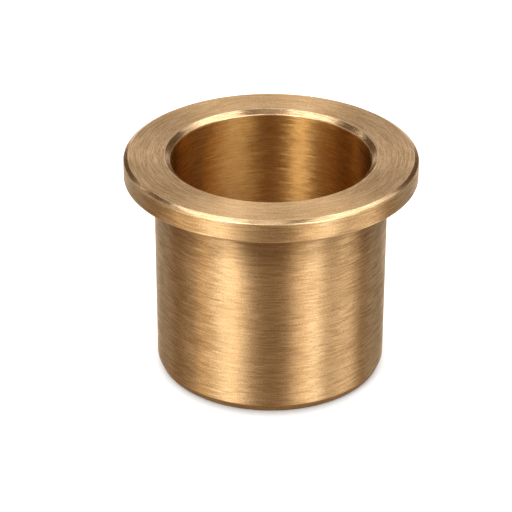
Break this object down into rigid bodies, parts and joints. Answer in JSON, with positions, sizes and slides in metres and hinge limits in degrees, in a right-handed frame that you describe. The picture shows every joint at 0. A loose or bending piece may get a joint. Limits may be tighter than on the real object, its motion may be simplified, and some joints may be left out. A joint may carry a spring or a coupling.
{
  "type": "flanged sleeve bushing",
  "caption": "Plain flanged sleeve bushing turned in one piece from bronze, with a smooth through bore, chamfered flange and tapered lead-in end.",
  "frame": {"origin": "centre of the sleeve's plain end face, where the bore's axis crosses it, which is the face it stands on", "axes": "+Z along the bore's axis from the plain end to the flange; X and Y lie in the end face, in any direction, since the part is round"},
  "size_m": [0.044, 0.044, 0.0345],
  "materials": {
    "turned_bronze": null
  },
  "bodies": {
    "root": {"flanged_bushing": "turned_bronze"}
  },
  "joints": []
}
